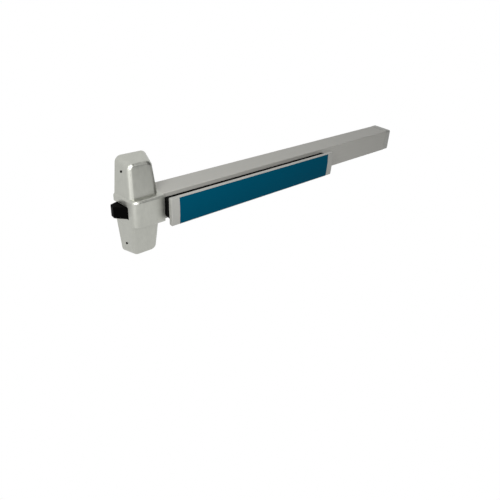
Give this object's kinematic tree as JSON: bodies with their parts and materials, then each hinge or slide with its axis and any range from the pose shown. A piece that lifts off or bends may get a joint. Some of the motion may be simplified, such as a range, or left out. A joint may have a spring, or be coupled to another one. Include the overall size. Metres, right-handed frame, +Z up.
{
  "type": "rim exit device",
  "caption": "Surface-mounted panic exit bar with a sloping cast head, pivoted rim latch bolt, long channel case and a wide push pad with a glossy coloured insert.",
  "frame": {"origin": "middle of the head's four door fixing holes, on the door face", "axes": "+X along the bar from the latch end to the hinge end, +Y into the door, +Z up"},
  "size_m": [0.8487, 0.0887, 0.216],
  "materials": {
    "head_finish": "satin silver",
    "case_metal": "satin anodised",
    "cap_metal": "satin silver",
    "insert_blue": "gloss",
    "carrier_black": "satin black",
    "bolt_black": "black oxide",
    "plate_steel": "zinc plated",
    "pin_steel": "ground",
    "screw_steel": "zinc plated",
    "spring_steel": "bright",
    "guide_plastic": "matte"
  },
  "bodies": {
    "device": {"base_rail": "plate_steel", "cam_keeper": "plate_steel", "chassis_plate": "plate_steel", "cover_screws": "bolt_black", "end_bracket": "plate_steel", "end_cap": "cap_metal", "end_cap_screws": "screw_steel", "front_bracket": "plate_steel", "front_bracket_screws": "screw_steel", "front_pad_springs": "spring_steel", "front_pivot_pin": "pin_steel", "front_spring_guides": "guide_plastic", "head_cover": "head_finish", "keeper_screws": "screw_steel", "lap_plate": "plate_steel", "lap_screws": "screw_steel", "latch_bracket": "plate_steel", "latch_bracket_screws": "screw_steel", "latch_pivot_pin": "pin_steel", "latch_spring": "spring_steel", "mechanism_case": "case_metal", "rear_bracket": "plate_steel", "rear_bracket_screws": "screw_steel", "rear_pad_springs": "spring_steel", "rear_pivot_pin": "pin_steel", "rear_spring_guides": "guide_plastic"},
    "pad": {"push_pad": "case_metal", "pad_insert": "insert_blue", "pad_cap_left": "cap_metal", "pad_cap_right": "cap_metal", "pad_carrier": "carrier_black", "carrier_screws": "screw_steel"},
    "rod": {"actuating_rod": "plate_steel", "pull_link": "plate_steel", "rod_splice": "plate_steel"},
    "front_lever": {"front_rocker": "plate_steel", "front_rocker_pins": "pin_steel"},
    "rear_lever": {"rear_rocker": "plate_steel", "rear_rocker_pins": "pin_steel"},
    "latch": {"latch_bolt": "bolt_black", "latch_link_pin": "pin_steel"},
    "cam": {"trim_cam": "plate_steel"}
  },
  "joints": [
    {"name": "pad_press", "type": "slide", "parent": "device", "child": "pad", "axis": [0, 1, 0], "range_m": [0, 0.0173], "stiffness_N_per_m": 1500, "springref_m": -0.008, "deforming": ["front_pad_springs", "rear_pad_springs"]},
    {"name": "front_lever_turn", "type": "hinge", "parent": "device", "child": "front_lever", "pos_m": [0.114, -0.029, 0], "axis": [0, 0, -1], "range_deg": [0, 25]},
    {"name": "rear_lever_turn", "type": "hinge", "parent": "device", "child": "rear_lever", "pos_m": [0.424, -0.029, 0], "axis": [0, 0, -1], "range_deg": [0, 25]},
    {"name": "rod_pull", "type": "slide", "parent": "device", "child": "rod", "axis": [1, 0, 0], "range_m": [0, 0.0087]},
    {"name": "latch_swing", "type": "hinge", "parent": "device", "child": "latch", "pos_m": [-0.019, -0.051, 0], "axis": [0, 0, -1], "range_deg": [0, 22]},
    {"name": "trim_cam_turn", "type": "hinge", "parent": "device", "child": "cam", "pos_m": [0.003, 0, -0.05], "axis": [0, 1, 0], "range_deg": [-30, 30], "stiffness_Nm_per_rad": 0.02}
  ],
  "couplings": [
    {"joint": "front_lever_turn", "follows": "pad_press", "rad_per_m": 25.2},
    {"joint": "rear_lever_turn", "follows": "pad_press", "rad_per_m": 25.2},
    {"joint": "rod_pull", "follows": "pad_press", "ratio": 0.5},
    {"joint": "latch_swing", "follows": "pad_press", "rad_per_m": 22.19}
  ]
}
